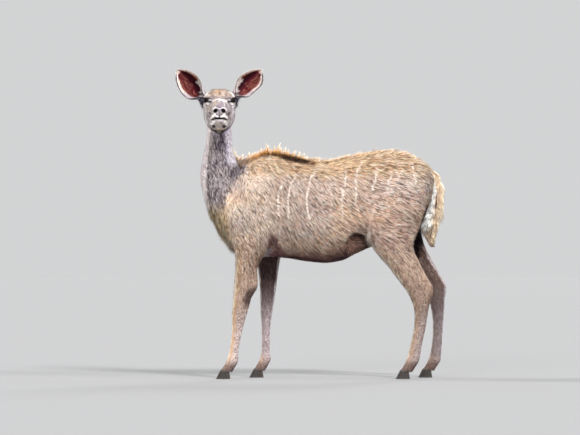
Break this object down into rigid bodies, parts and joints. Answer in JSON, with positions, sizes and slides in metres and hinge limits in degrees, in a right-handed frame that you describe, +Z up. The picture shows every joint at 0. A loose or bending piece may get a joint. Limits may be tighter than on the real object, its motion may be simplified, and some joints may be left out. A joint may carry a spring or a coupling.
{
  "type": "greater kudu cow",
  "caption": "Standing hornless greater kudu cow, body in profile and head turned to its left, with large cupped ears, neck crest and bushy tail.",
  "frame": {"origin": "on the floor under the middle of the animal's overall box", "axes": "+Z up, -X the way the body faces, -Y the animal's left side, which the head looks towards"},
  "size_m": [1.4674, 0.5274, 1.6685],
  "materials": {
    "body_coat": "rough tan-brown hair with thin white stripes",
    "neck_coat": "rough grey-brown hair",
    "face": "short grey-tan hair",
    "ear": "short hair, red-brown inside with a pale fringe",
    "tail_hair": "long tan hair, white below",
    "eye": "wet dark gloss",
    "hoof_horn": "dull black horn"
  },
  "bodies": {
    "root": {"head": "face", "neck": "neck_coat", "trunk": "body_coat", "tail": "tail_hair", "ear_left": "ear", "ear_right": "ear", "eye_left": "eye", "eye_right": "eye", "foreleg_left_upper": "body_coat", "foreleg_left_lower": "body_coat", "foreleg_right_upper": "body_coat", "foreleg_right_lower": "body_coat", "hindleg_left_upper": "body_coat", "hindleg_left_lower": "body_coat", "hindleg_right_upper": "body_coat", "hindleg_right_lower": "body_coat", "toe_front_left_outer": "hoof_horn", "toe_front_left_inner": "hoof_horn", "toe_front_right_outer": "hoof_horn", "toe_front_right_inner": "hoof_horn", "toe_hind_left_outer": "hoof_horn", "toe_hind_left_inner": "hoof_horn", "toe_hind_right_outer": "hoof_horn", "toe_hind_right_inner": "hoof_horn"}
  },
  "joints": []
}
